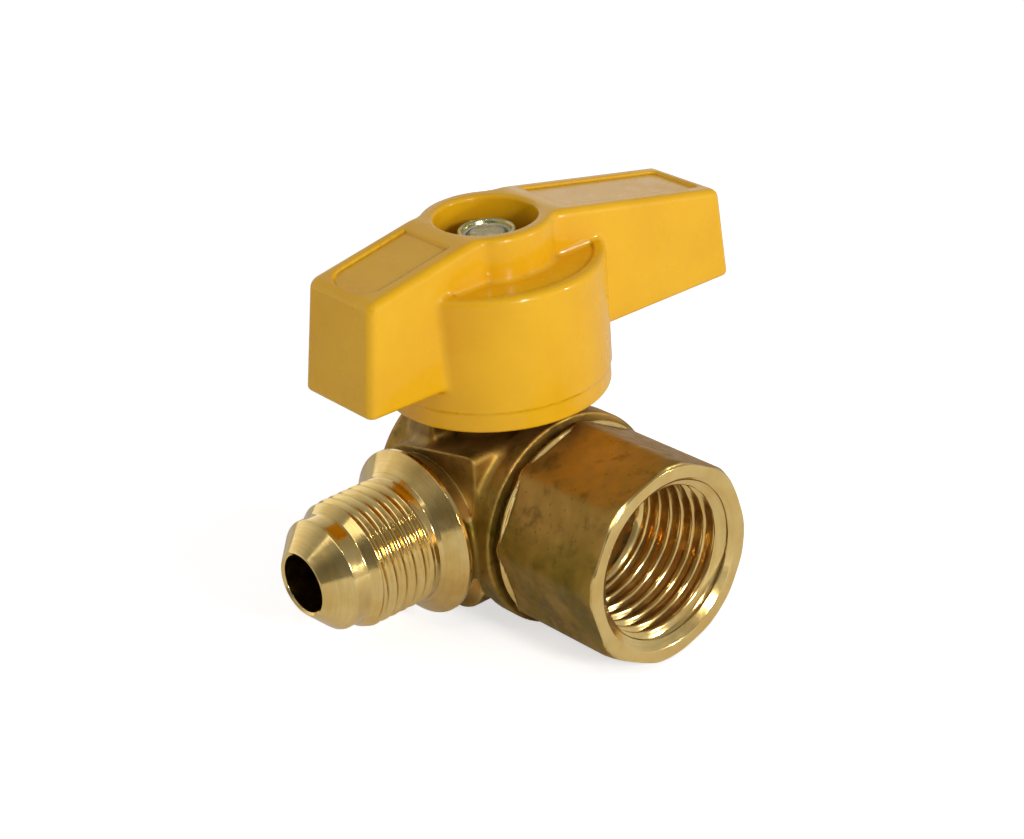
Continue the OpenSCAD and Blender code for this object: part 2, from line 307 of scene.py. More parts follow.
def facing_out(points, faces):
    """The faces, turned so that the closed mesh has its normals outside."""
    a, b, c, d = (points[faces[:, i]] for i in range(4))
    volume = (a * (np.cross(b, c) + np.cross(c, d))).sum()
    return faces if volume > 0 else faces[:, ::-1].copy()


# ---------------------------------------------------------------- forged body

BARREL_R = 12.0
BARREL_REAR = 12.0
BARREL_CHAMFER = 1.8
RING_R = 13.3
RING_REAR = 8.7
SOCKET_FACE = 11.8
BLOCK_HALF = 8.9
BLOCK_TOP = 10.0
BLOCK_FRONT = 12.0
BLOCK_SLOPE = 0.2
BLOCK_BEVEL = 3.0
COLLAR_R = 10.4
COLLAR_FRONT = 14.75
COLLAR_SLOPE = 0.6
NECK_R = 7.0
NECK_TOP = 17.0
LUG_R = 10.6
LUG_FOOT = 7.5
LUG_MARGIN = math.radians(1)
BORE_R = 3.57
BORE_GAP = 0.1
SOCKET_R = 10.3
SOCKET_DEEP = 6.2
SEAM_POCKET_R = 11.5
SEAM_POCKET_FOOT = SOCKET_FACE - 0.8
CHAMBER_R = 8.5
CHAMBER_REAR = -6.8
CHAMBER_FRONT = 7.2
BACK_SEAT_R = 7.7
BACK_SEAT_REAR = -8.8
STEM_HOLE_R = 3.24
STEM_FLANGE_R = 4.8
STEM_FLANGE_TOP = 10.2
PACKING_R = 4.95
PACKING_FOOT = 13.4
FORGED_EDGE = 0.5
NECK_EDGE = 0.4
RING_EDGE = 0.25
MILLED_EDGE = 0.2
RIM_EDGE = 0.15
BORE_EDGE = 0.1
BLOCK_EDGE = 1.2
BEVEL_BLEND = 1.5
RIM_FILLET = 0.3
BLOCK_FILLET = 1.0
NECK_FILLET = 1.2
MILLED_BOTTOM = (-8.5, -6.0)
HANDLE_SHADE_RISE = (3.5, 9.0)
MILLED_BLEND = 0.2


def barrel_and_ring(x, around):
    """Round barrel with a bevelled rear end, and the thicker ring around the connector's socket."""
    barrel = round_max(around - BARREL_R, slab(x, -BARREL_REAR, RING_REAR + 1), FORGED_EDGE)
    bevel = chamfer(around - BARREL_R, -x - BARREL_REAR, BARREL_CHAMFER)
    ring = round_max(around - RING_R, slab(x, RING_REAR, SOCKET_FACE), RING_EDGE)
    return round_min(round_max(barrel, bevel, FORGED_EDGE), ring, FORGED_EDGE)


def outlet_block(x, y, z):
    """Block with a sloping top and three bevelled edges that flares out into the collar's rim."""
    forward = -y
    around = np.hypot(x, z)
    top = (z - BLOCK_TOP - BLOCK_SLOPE * x) / math.hypot(1, BLOCK_SLOPE)
    sides = np.abs(x) - BLOCK_HALF
    block = round_max(round_max(sides, top, BLOCK_EDGE), -z - BLOCK_TOP, NECK_EDGE)
    block = round_max(block, chamfer(sides, -z - BLOCK_TOP, BLOCK_BEVEL), BEVEL_BLEND)
    block = round_max(block, chamfer(-x - BLOCK_HALF, top, BLOCK_BEVEL), BEVEL_BLEND)
    block = round_max(block, slab(forward, -1, BLOCK_FRONT), MILLED_EDGE)
    cone = around - (COLLAR_R - COLLAR_SLOPE * (COLLAR_FRONT - forward))
    ends = slab(forward, BLOCK_FRONT / 2, COLLAR_FRONT)
    collar = round_max(cone / math.hypot(1, COLLAR_SLOPE), ends, RIM_EDGE)
    return round_min(block, collar, RIM_FILLET)


def neck_and_lug(x, y, z):
    """Round neck for the stem, with a quarter of a wider ring beside it that stops the handle."""
    around = np.hypot(x, y)
    neck = round_max(around - NECK_R, slab(z, 0, NECK_TOP), NECK_EDGE)
    lug = round_max(around - LUG_R, slab(z, LUG_FOOT, NECK_TOP), FORGED_EDGE)
    sides = round_max(x * math.cos(LUG_MARGIN) - y * math.sin(LUG_MARGIN),
                      y * math.cos(LUG_MARGIN) - x * math.sin(LUG_MARGIN), FORGED_EDGE)
    return round_min(neck, round_max(lug, sides, FORGED_EDGE), FORGED_EDGE)


def body_hollows(x, y, z):
    """The bores and pockets that the body is machined with."""
    around_x, around_y, around_z = np.hypot(y, z), np.hypot(x, z), np.hypot(x, y)
    hollows = (
        np.maximum(around_x - SOCKET_R, SOCKET_DEEP - x),
        np.maximum(around_x - SEAM_POCKET_R, SEAM_POCKET_FOOT - x),
        np.maximum(around_x - CHAMBER_R, slab(x, CHAMBER_REAR, CHAMBER_FRONT)),
        np.maximum(around_x - BACK_SEAT_R, slab(x, BACK_SEAT_REAR, 0)),
        np.maximum(around_y - BORE_R - BORE_GAP, y),
        np.maximum(around_z - STEM_HOLE_R, -z),
        np.maximum(around_z - STEM_FLANGE_R, slab(z, 0, STEM_FLANGE_TOP)),
        np.maximum(around_z - PACKING_R, PACKING_FOOT - z),
    )
    return np.minimum.reduce(hollows)


def forging(x, y, z):
    """The whole forging: barrel, outlet block, neck and lug, less its hollows."""
    solid = round_min(barrel_and_ring(x, np.hypot(y, z)), outlet_block(x, y, z), BLOCK_FILLET)
    solid = round_min(solid, neck_and_lug(x, y, z), NECK_FILLET)
    return round_max(solid, -body_hollows(x, y, z), BORE_EDGE)


def make_body_forging(material):
    low = (-BARREL_REAR - MARGIN, -COLLAR_FRONT - MARGIN, -RING_R - MARGIN)
    high = (SOCKET_FACE + MARGIN, RING_R + MARGIN, NECK_TOP + MARGIN)
    points, faces, normals = net(forging, low, high)
    x, y, z = points.T
    # The block's front face is machined, but the mask fades out across HANDLE_SHADE_RISE, so its upper part
    # shows as dark forging: painted shade under the handle.
    machined = fade(-y, BLOCK_FRONT - MILLED_BLEND, BLOCK_FRONT) * (1 - fade(z, *HANDLE_SHADE_RISE))
    side = BLOCK_HALF - MILLED_BLEND / 2
    machined *= fade(z, *MILLED_BOTTOM) * (1 - fade(x, side, side + MILLED_BLEND))
    return new_piece("body_forging", points, faces, material, normals, {"machined": machined})


# ---------------------------------------------------------------- turned flare end

FLARE_CREST_R = 7.9
FLARE_DEPTH = 0.65
FLARE_PITCH = 1.411
FLARE_TURNS = 5
FLARE_FOOT = OUTLET_REACH - 6.3 - FLARE_TURNS * FLARE_PITCH
FLARE_REAR = 9.0
SHANK_R = 6.0
SHANK_END = 13.7
WEB_R = 9.8
WEB_END = 14.2
COLLAR_BACK = 14.5
COLLAR_END = OUTLET_REACH - 16.6
SLOPE_END = OUTLET_REACH - 14.9
CREST_START = OUTLET_REACH - 14.4
CREST_END = OUTLET_REACH - 6.1
RELIEF_START = OUTLET_REACH - 4.9
NOSE_START = OUTLET_REACH - 2.9
NOSE_END = OUTLET_REACH - 0.1
RELIEF_R = 6.85
NOSE_R = 4.05
LIP_R = 3.9
LIP_DEPTH = 0.25
CREST_SHARE = 0.14
ROOT_POWER = 1.7
COLUMNS = 288


def thread_wave(phase):
    """0 on the narrow crest and 1 at the broad, rounded root of a thread."""
    share = 1 - np.abs(2 * (phase - np.floor(phase)) - 1)
    share = np.clip((share - CREST_SHARE) / (1 - CREST_SHARE), 0, 1)
    return 1 - (1 - share) ** ROOT_POWER


def flare_outline():
    """Distance along the outlet's axis and radius, out along the outside and back along the bore."""
    outline = [
        (FLARE_REAR, BORE_R),
        (FLARE_REAR, SHANK_R),
        (SHANK_END, SHANK_R),
        (WEB_END, WEB_R),
        (COLLAR_BACK, COLLAR_R, 0.08),
        (COLLAR_END, COLLAR_R, 0.12),
        (SLOPE_END, FLARE_CREST_R + 0.35, 0.3),
        (CREST_START, FLARE_CREST_R, 0.3),
        (CREST_END, FLARE_CREST_R, 0.25),
        (RELIEF_START, RELIEF_R, 0.5),
        (NOSE_START, RELIEF_R, 0.4),
        (NOSE_END, NOSE_R, 0.15),
        (OUTLET_REACH, LIP_R, 0.05),
        (OUTLET_REACH - LIP_DEPTH, BORE_R, 0.1),
        (FLARE_REAR + 0.3, BORE_R),
    ]
    line = spaced(rounded(outline, 0.2, steps=5), 0.1)
    apart = np.linalg.norm(np.diff(line, axis=0), axis=1) > 1e-5
    return line[np.concatenate([[True], apart])]


def make_outlet_flare(material):
    angles = around_once(COLUMNS)
    line = flare_outline()
    along, radius = line[:, :1], np.repeat(line[:, 1:], COLUMNS, axis=1)
    wave = thread_wave((along - FLARE_FOOT) / FLARE_PITCH - angles / (2 * math.pi))
    run_in = fade(along, FLARE_FOOT - 0.5, FLARE_FOOT + 0.6)
    run_out = 1 - fade(along, CREST_END - 0.1, CREST_END + 0.5)
    cut = FLARE_CREST_R - FLARE_DEPTH * wave * (run_in * run_out)
    on_thread = (along > FLARE_FOOT - 0.6) & (along < CREST_END + 0.6) & (radius > BORE_R + 1)
    radius = np.where(on_thread, np.minimum(radius, cut), radius)
    points = turned_points(along, radius, angles, "outlet")
    return new_piece("outlet_flare", points, ring_grid(len(line), COLUMNS, True), material)


# ---------------------------------------------------------------- end connector

OCTAGON_TURN = math.radians(6)
APOTHEM = 12.0
CORNER_R = 12.84
FRONT_BEVEL = 1.8
FRONT_BEVEL_R = 13.05
FRONT_EDGE = 0.3
FRONT_EDGE_R = 12.4
FRONT_R = 12.05
FLANGE_R = 12.56
FLANGE_REAR = 12.8
FLANGE_EDGE = 12.95
FLANGE_FRONT = 13.2
FLANGE_SLOPE_END = 13.6
FLANGE_SLOPE_R = 11.5
FLANGE_FOOT_R = 12.4
SHOULDER = 11.75
SEAM_R = 11.6
SPIGOT_R = 10.2
SPIGOT_REAR = 6.3
SEAT_POCKET_R = 7.65
SEAT_POCKET_FRONT = 8.8
THROAT_R = 4.5
THROAT_END = 10.4
CLEARANCE_R = 8.3
CLEARANCE_REAR = 11.4
MOUTH_R = 10.7
MOUTH_DEPTH = 1.1
MOUTH_SLOPE = 1.3
INLET_PITCH = 1.814
INLET_CREST_R = 9.2
INLET_DEPTH = 1.15
INLET_TAPER = 1 / 32
INLET_TURNS = 7
THREAD_DEEP = INLET_REACH - MOUTH_DEPTH - INLET_TURNS * INLET_PITCH


def octagon_radius(angles):
    """Distance from the axis to the octagon, with its long edges slightly worn."""
    eighth = math.pi / 4
    from_mid = (angles - OCTAGON_TURN) % eighth - eighth / 2
    return soft_min(APOTHEM / np.cos(from_mid), CORNER_R, 0.3)


def connector_outside(along, angles):
    """Outer radius of the part that stands clear of the body, and where it is machined."""
    octagon = octagon_radius(angles) + 0 * along
    front = np.interp(along, [INLET_REACH - FRONT_BEVEL, INLET_REACH - FRONT_EDGE, INLET_REACH],
                      [FRONT_BEVEL_R, FRONT_EDGE_R, FRONT_R])
    slope = np.interp(along, [FLANGE_REAR, FLANGE_EDGE, FLANGE_FRONT, FLANGE_SLOPE_END],
                      [FLANGE_R - 0.2, FLANGE_R, FLANGE_R, FLANGE_SLOPE_R])
    flats = soft_min(octagon, front, 0.2)
    radius = -soft_min(-flats, -slope, 0.12)
    on_flange = fade(slope - flats, -0.05, 0.05)
    on_face = fade(along, INLET_REACH - 0.35, INLET_REACH - 0.15)
    return radius, np.maximum(on_flange, on_face)


def connector_thread(along, angles):
    """Radius of the bore along the thread, with the mouth's countersink."""
    crest = INLET_CREST_R - INLET_TAPER * (INLET_REACH - MOUTH_DEPTH - along)
    wave = thread_wave((along - THREAD_DEEP) / INLET_PITCH + angles / (2 * math.pi))
    thread = crest + INLET_DEPTH * wave * fade(along, THREAD_DEEP - 0.2, THREAD_DEEP + 1.2)
    mouth = MOUTH_R - MOUTH_SLOPE * (INLET_REACH - along)
    return -soft_min(-thread, -mouth, 0.1)


def connector_spigot():
    """Outline of the part that is screwed into the body, from its rear end out to the flange."""
    outline = [
        (SPIGOT_REAR, SPIGOT_R - 0.3),
        (SPIGOT_REAR, SPIGOT_R, 0.2),
        (SHOULDER, SPIGOT_R, 0.1),
        (SHOULDER, SEAM_R, 0.1),
        (FLANGE_REAR, SEAM_R, 0.15),
        (FLANGE_REAR, FLANGE_FOOT_R),
    ]
    return spaced(rounded(outline, 0.2), 0.4)


def connector_throat():
    """Outline of the bore behind the thread, back to the spigot's rear end."""
    outline = [
        (THREAD_DEEP - 0.05, INLET_CREST_R - 0.5),
        (THREAD_DEEP - 0.5, CLEARANCE_R),
        (CLEARANCE_REAR, CLEARANCE_R),
        (THROAT_END, THROAT_R),
        (SEAT_POCKET_FRONT, THROAT_R),
        (SEAT_POCKET_FRONT, SEAT_POCKET_R),
        (SPIGOT_REAR, SEAT_POCKET_R),
        (SPIGOT_REAR, SPIGOT_R - 0.8),
    ]
    return spaced(rounded(outline, 0.15, steps=3), 0.5)


def connector_stations():
    """Places along the octagon, closer together at its flange and its front edge."""
    flange_end = 14.6
    front_start = INLET_REACH - 2.0
    return np.concatenate([
        np.arange(FLANGE_REAR, flange_end, 0.08),
        np.arange(flange_end, front_start, 0.45),
        np.arange(front_start, INLET_REACH, 0.07),
    ])[:, None]


def make_end_connector(material):
    angles = around_once(COLUMNS)
    spigot, clear, throat = connector_spigot(), connector_stations(), connector_throat()
    threaded = np.arange(INLET_REACH, THREAD_DEEP, -0.11)[1:, None]
    outer_r, outer_machined = connector_outside(clear, angles)
    face = np.linspace(0, 1, 5)[:, None]
    face_r = outer_r[-1:] * (1 - face) + MOUTH_R * face
    face_r[0] -= 0.04
    face_x = np.full((len(face), 1), INLET_REACH)
    wide = np.ones((1, COLUMNS))
    along = np.concatenate([spigot[:, :1], clear, face_x, threaded, throat[:, :1]])
    radius = np.concatenate([
        spigot[:, 1:] * wide, outer_r, face_r, connector_thread(threaded, angles), throat[:, 1:] * wide])
    inner_rows = len(face) + len(threaded) + len(throat)
    machined = np.concatenate([
        np.zeros((len(spigot), COLUMNS)), outer_machined, np.ones((inner_rows, COLUMNS))])
    points = turned_points(along, radius, angles, "inlet")
    faces = ring_grid(len(radius), COLUMNS, True)
    return new_piece("inlet_connector", points, faces, material, masks={"machined": machined.ravel()})


# ---------------------------------------------------------------- cast handle

SHORT_WING = 23.4
LONG_WING = 32.65
HANDLE_TURN = math.radians(-1.9)
HUB_R = 13.8
HUB_TOP = 31.0
HUB_BAND_TOP = 17.0
HUB_BAND_R = 13.62
HUB_WALL = 2.2
HUB_FLOOR = 21.0
WING_FOOT = 19.6
WING_HALF = 6.5
WING_DRAFT = 0.03
SHORT_LEAN = 0.137
LONG_LEAN = 0.08
ROOF_FLAT = 6.0
ROOF_FALL = 0.195
ROOF_KNEE = 1.5
BOSS_R = 8.0
RECESS_R = 6.1
RECESS_FLOOR = 28.2
EDGE_ROUND = 0.95
WING_SIDE_ROUND = 1.1
WING_FOOT_ROUND = 0.7
BOSS_ROUND = 0.7
BOSS_FILLET = 0.4
HUB_ROUND = 0.8
HUB_FILLET = 0.6
BAND_ROUND = 0.35
BAND_BLEND = 0.4
RECESS_ROUND = 0.5
LEDGE_ROUND = 0.2
PANEL_DEPTH = 0.4
PANEL_EDGE = 0.25
PANEL_FOOT = 0.15
SHORT_PANEL = (-8.6, -20.4, 2.6)
LONG_PANEL = (8.8, 30.2, 0.8)
PANEL_HALF = 4.1
PANEL_SHIFT = 0.2
LEDGE_WIDTH = 1.5
LEDGE_START = 6.0
LEDGE_DEPTH = 0.35
RIB_R = 7.6
RIB_FOOT = 14.9
RIB_START = 0.2
STEM_R = 3.25
STEM_FLAT = 2.65


def roof(y):
    """Height of the wings' top: flat over the nut, then falling towards both tips."""
    fall = np.maximum(np.abs(y) - ROOF_FLAT, 0)
    bent = np.minimum(fall, ROOF_KNEE)
    return HANDLE_TOP - ROOF_FALL * (fall - bent * (1 - bent / (2 * ROOF_KNEE)))


def wing(x, y, z, tip, lean):
    """One wing out to y = tip, which may lie on either side."""
    out = y if tip > 0 else -y
    rise = z - WING_FOOT
    side = (np.abs(x) - WING_HALF + WING_DRAFT * rise) / math.hypot(1, WING_DRAFT)
    end = (out - abs(tip) + lean * rise) / math.hypot(1, lean)
    shape = round_max(side, np.maximum(end, -out - 3), WING_SIDE_ROUND)
    shape = round_max(shape, (z - roof(y)) / math.hypot(1, ROOF_FALL), EDGE_ROUND)
    return round_max(shape, -rise, WING_FOOT_ROUND)


def panel_pocket(x, y, z, near, far, round_end):
    """Shallow flat-floored pocket in a wing's top, from |y| = near to |y| = far."""
    out = y if far > 0 else -y
    near, far = abs(near), abs(far)
    across = np.abs(x + PANEL_SHIFT)
    outline = np.maximum(across - PANEL_HALF, slab(out, near, far))
    corner_x, corner_y = across - (PANEL_HALF - round_end), out - (far - round_end)
    rounded_end = np.hypot(np.maximum(corner_x, 0), np.maximum(corner_y, 0)) - round_end
    outline = np.where(corner_y > 0, np.maximum(outline, rounded_end), outline)
    return round_max(outline, roof(y) - PANEL_DEPTH - z, PANEL_FOOT)


def hub(x, y, z):
    """Round hub with a slightly narrower band at its foot and a shallow ledge in its top."""
    around = np.hypot(x, y)
    upper = round_max(around - HUB_R, slab(z, HUB_BAND_TOP, HUB_TOP), HUB_ROUND)
    upper = np.where(z < HUB_BAND_TOP + 1, np.maximum(around - HUB_R, HUB_BAND_TOP - z), upper)
    band = round_max(around - HUB_BAND_R, slab(z, SKIRT_Z, HUB_BAND_TOP + 1), BAND_ROUND)
    ledge = np.maximum(np.maximum(around - HUB_R + LEDGE_WIDTH, LEDGE_START - x), HUB_TOP - LEDGE_DEPTH - z)
    wall = np.maximum(round_min(upper, band, BAND_BLEND), around - HUB_R)
    return round_max(wall, -ledge, LEDGE_ROUND)


def handle_hollows(x, y, z):
    """The open underside with its stop rib, the recess over the nut and the hole with two flats."""
    around = np.hypot(x, y)
    rib = np.maximum(np.maximum(RIB_R - around, RIB_FOOT - z), RIB_START - y)
    under = np.maximum(np.maximum(around - HUB_R + HUB_WALL, z - HUB_FLOOR), -rib)
    hole = np.maximum(around - STEM_R, np.abs(x) - STEM_FLAT)
    return np.minimum(under, hole)


def casting(x, y, z):
    """The handle in its own frame, where the wings lie along Y."""
    wings = np.minimum(wing(x, y, z, -SHORT_WING, SHORT_LEAN), wing(x, y, z, LONG_WING, LONG_LEAN))
    top = (z - roof(y)) / math.hypot(1, ROOF_FALL)
    boss = round_max(round_max(np.hypot(x, y) - BOSS_R, top, BOSS_ROUND), WING_FOOT - z, RECESS_ROUND)
    shape = round_min(round_min(wings, boss, BOSS_FILLET), hub(x, y, z), HUB_FILLET)
    shape = np.maximum(shape, top)
    recess = np.maximum(np.hypot(x, y) - RECESS_R, RECESS_FLOOR - z)
    shape = round_max(shape, -recess, RECESS_ROUND)
    shape = round_max(shape, -panel_pocket(x, y, z, *SHORT_PANEL), PANEL_EDGE)
    shape = round_max(shape, -panel_pocket(x, y, z, *LONG_PANEL), PANEL_EDGE)
    return round_max(shape, -handle_hollows(x, y, z), PANEL_EDGE)


def make_handle(material):
    low = (-HUB_R - MARGIN, -SHORT_WING - MARGIN, SKIRT_Z - MARGIN)
    high = (HUB_R + MARGIN, LONG_WING + MARGIN, HANDLE_TOP + MARGIN)
    points, faces, normals = net(casting, low, high)
    c, s = math.cos(HANDLE_TURN), math.sin(HANDLE_TURN)
    turn = np.array([[c, s, 0], [-s, c, 0], [0, 0, 1]])
    # Painted shade: recess_painted_shade darkens the paint deep in the recess over the nut, where shade
    # falls.
    inner = 1 - fade(np.hypot(points[:, 0], points[:, 1]), RECESS_R + 0.1, RECESS_R + 0.5)
    recess_painted_shade = inner * (1 - fade(points[:, 2], RECESS_FLOOR + 1.5, HANDLE_TOP - 0.5))
    return new_piece("handle_casting", points @ turn, faces, material, normals @ turn, {"recess": recess_painted_shade})


# ---------------------------------------------------------------- lock nut

NUT_COLUMNS = 144
NUT_APOTHEM = 4.0
NUT_CORNER_R = 4.7
NUT_FACE_R = 4.2
NUT_BORE_R = 2.55
NUT_HEX_TOP = 32.6
NUT_HEX_TOP_R = 3.9
NUT_COLLAR_R = 3.45
NUT_LIP_R = 2.95
NUT_LIP_FOOT_R = 2.75
NUT_LIP_DEPTH = 0.55


def make_lock_nut(material):
    """Hexagon nut with a round collar, whose rim is turned in over the insert."""
    angles = around_once(NUT_COLUMNS)
    sixth = math.pi / 3
    hexagon = NUT_APOTHEM / np.cos(angles % sixth - sixth / 2)
    outline = [
        (NUT_BORE_R, NUT_FOOT),
        (NUT_FACE_R, NUT_FOOT, 0.1),
        (NUT_CORNER_R, NUT_FOOT + 0.35, 0.1),
        (NUT_CORNER_R, NUT_HEX_TOP - 0.5, 0.1),
        (NUT_HEX_TOP_R, NUT_HEX_TOP, 0.2),
        (NUT_COLLAR_R, NUT_HEX_TOP + 0.05, 0.3),
        (NUT_COLLAR_R, NUT_TOP, 0.45),
        (NUT_LIP_R, NUT_TOP, 0.25),
        (NUT_LIP_FOOT_R, NUT_TOP - NUT_LIP_DEPTH, 0.2),
        (NUT_BORE_R, NUT_TOP - 0.6, 0.1),
        (NUT_BORE_R, NUT_FOOT + 0.2),
    ]
    line = spaced(rounded(outline, 0.1, steps=5), 0.15)
    radius = np.repeat(line[:, :1], NUT_COLUMNS, axis=1)
    on_hexagon = (line[:, 1:] < NUT_HEX_TOP + 0.04) & (radius > NUT_COLLAR_R + 0.05)
    radius = np.where(on_hexagon, soft_min(radius, hexagon, 0.08), radius)
    points = turned_points(line[:, 1:], radius, angles, "stem")
    return new_piece("lock_nut_plated", points, ring_grid(len(line), NUT_COLUMNS, True), material)


# ---------------------------------------------------------------- materials

def set_range(node, *limits):
    """Limits of a Map Range node: the range that goes in, then the one that comes out."""
    for socket, number in zip(("From Min", "From Max", "To Min", "To Max"), limits):
        node.inputs[socket].default_value = number


class Finish:
    """A node material, with short calls for the patterns that its colour, roughness and bump are made of.
    Patterns are laid out in millimetres in the piece's own space."""

    def __init__(self, name, **values):
        self.material = bpy.data.materials.new(name)
        self.material.use_nodes = True
        self.tree = self.material.node_tree
        self.shader = self.tree.nodes["Principled BSDF"]
        for socket, value in values.items():
            self.shader.inputs[socket.replace("_", " ")].default_value = value
        coordinates = self.tree.nodes.new("ShaderNodeTexCoord")
        scale = self.tree.nodes.new("ShaderNodeVectorMath")
        scale.operation = "SCALE"
        scale.inputs["Scale"].default_value = 1 / MM
        self.tree.links.new(coordinates.outputs["Object"], scale.inputs[0])
        self.place = scale.outputs["Vector"]
        self.normal = None

    def feed(self, socket, value):
        if isinstance(value, bpy.types.NodeSocket):
            self.tree.links.new(value, socket)
        elif value is not None:
            socket.default_value = value

    def stretched(self, scale):
        node = self.tree.nodes.new("ShaderNodeVectorMath")
        node.operation = "MULTIPLY"
        self.feed(node.inputs[0], self.place)
        node.inputs[1].default_value = scale
        return node.outputs["Vector"]

    def noise(self, size, detail=3.0, rough=0.55, place=None, warp=0.0):
        """Noise from 0 to 1 whose blotches are about this many millimetres across."""
        node = self.tree.nodes.new("ShaderNodeTexNoise")
        self.feed(node.inputs["Vector"], place or self.place)
        node.inputs["Scale"].default_value = 1 / size
        node.inputs["Detail"].default_value = detail
        node.inputs["Roughness"].default_value = rough
        node.inputs["Distortion"].default_value = warp
        return node.outputs["Fac"]

    def cells(self, size, place=None):
        """Distance to the nearest of some scattered points, as a share of their spacing."""
        node = self.tree.nodes.new("ShaderNodeTexVoronoi")
        self.feed(node.inputs["Vector"], place or self.place)
        node.inputs["Scale"].default_value = 1 / size
        return node.outputs["Distance"]

    def axis(self, letter):
        """Where a point lies along X, Y or Z, in millimetres."""
        node = self.tree.nodes.new("ShaderNodeSeparateXYZ")
        self.feed(node.inputs[0], self.place)
        return node.outputs[letter]

    def attribute(self, name):
        node = self.tree.nodes.new("ShaderNodeAttribute")
        node.attribute_name = name
        return node.outputs["Fac"]

    def math(self, operation, a, b=None, clamp=False):
        node = self.tree.nodes.new("ShaderNodeMath")
        node.operation = operation
        node.use_clamp = clamp
        self.feed(node.inputs[0], a)
        self.feed(node.inputs[1], b)
        return node.outputs[0]

    def span(self, value, low, high, to_low=0.0, to_high=1.0):
        """value, moved from one range to another and held inside it, with soft ends."""
        node = self.tree.nodes.new("ShaderNodeMapRange")
        node.interpolation_type = "SMOOTHSTEP"
        self.feed(node.inputs["Value"], value)
        set_range(node, low, high, to_low, to_high)
        return node.outputs["Result"]

    def mix(self, share, a, b):
        """Colour a where share is 0 and b where it is 1."""
        node = self.tree.nodes.new("ShaderNodeMix")
        node.data_type = "RGBA"
        self.feed(node.inputs["Factor"], share)
        for socket, colour in (("A", a), ("B", b)):
            target = next(i for i in node.inputs if i.name == socket and i.type == "RGBA")
            self.feed(target, (*colour, 1) if isinstance(colour, tuple) else colour)
        return next(o for o in node.outputs if o.type == "RGBA")

    def colour(self, value):
        self.feed(self.shader.inputs["Base Color"], value)

    def roughness(self, value):
        self.feed(self.shader.inputs["Roughness"], value)

    def bump(self, height, depth):
        """Raises the surface by up to this many millimetres where height is 1."""
        node = self.tree.nodes.new("ShaderNodeBump")
        node.inputs["Distance"].default_value = depth * MM
        self.feed(node.inputs["Height"], height)
        if self.normal is not None:
            self.feed(node.inputs["Normal"], self.normal)
        self.normal = node.outputs["Normal"]
        self.feed(self.shader.inputs["Normal"], self.normal)


ENAMEL = (0.80, 0.41, 0.005)
ENAMEL_PALE = (0.85, 0.455, 0.007)
ENAMEL_CORNER_DARK = (0.22, 0.09, 0.012)
ENAMEL_SHADE = (0.27, 0.07, 0.012)
ENAMEL_SCUFF = (0.42, 0.2, 0.02)
ENAMEL_WORN = (0.9, 0.62, 0.12)


def yellow_enamel():
    """Thick glossy paint on a die casting: slightly uneven, thinner on its edges, darker in its inner
    corners, with painted shade deep in the recess over the nut.
    """
    finish = Finish("enamel_yellow", Coat_Weight=0.4, Coat_Roughness=0.05)
    finish.shader.inputs["Specular IOR Level"].default_value = 0.2
    tone = finish.mix(finish.span(finish.noise(9), 0.3, 0.7), ENAMEL, ENAMEL_PALE)
    # Darker in the inner corners, in noisy patches.
    corner = finish.span(finish.attribute("edge"), -0.35, -1.6)
    corner_dark = finish.math("MULTIPLY", corner, finish.span(finish.noise(3), 0.3, 0.7, 0.2, 0.45))
    tone = finish.mix(corner_dark, tone, ENAMEL_CORNER_DARK)
    # Painted shade: the paint turns dark red-brown towards the recess floor.
    tone = finish.mix(finish.math("MULTIPLY", finish.attribute("recess"), 0.85), tone, ENAMEL_SHADE)
    scuff = finish.span(finish.noise(0.5, detail=6, place=finish.stretched((0.25, 1, 2.2))), 0.67, 0.74)
    scuff = finish.math("MULTIPLY", scuff, finish.span(finish.noise(7), 0.55, 0.7))
    tone = finish.mix(finish.math("MULTIPLY", scuff, 0.5), tone, ENAMEL_SCUFF)
    edge = finish.span(finish.attribute("edge"), 0.5, 1.6)
    worn = finish.math("MULTIPLY", edge, finish.span(finish.noise(0.7, detail=5), 0.6, 0.72))
    tone = finish.mix(worn, tone, ENAMEL_WORN)
    finish.colour(tone)
    finish.roughness(finish.span(finish.noise(2.5, detail=5), 0.3, 0.75, 0.24, 0.42))
    finish.bump(finish.noise(2.2, detail=2), 0.05)
    finish.bump(finish.noise(0.35, detail=3), 0.006)
    return finish.material


OLIVE = (0.22, 0.145, 0.016)
TAN = (0.35, 0.21, 0.034)
UMBER = (0.46, 0.26, 0.06)
DARK_BROWN = (0.125, 0.082, 0.014)
BRASS = (0.83, 0.57, 0.19)
BRASS_PALE = (0.91, 0.68, 0.27)
TARNISH = (0.56, 0.31, 0.06)
TOOL_MARK = (0.6, 0.4, 0.14)
GROOVE_DARK = (0.36, 0.18, 0.04)
TUMBLE = 0.07
GRAIN = 0.03
FLARE_STRETCH = (0.03, 1.0, 0.03)
CONNECTOR_STRETCH = (1.0, 0.03, 0.03)


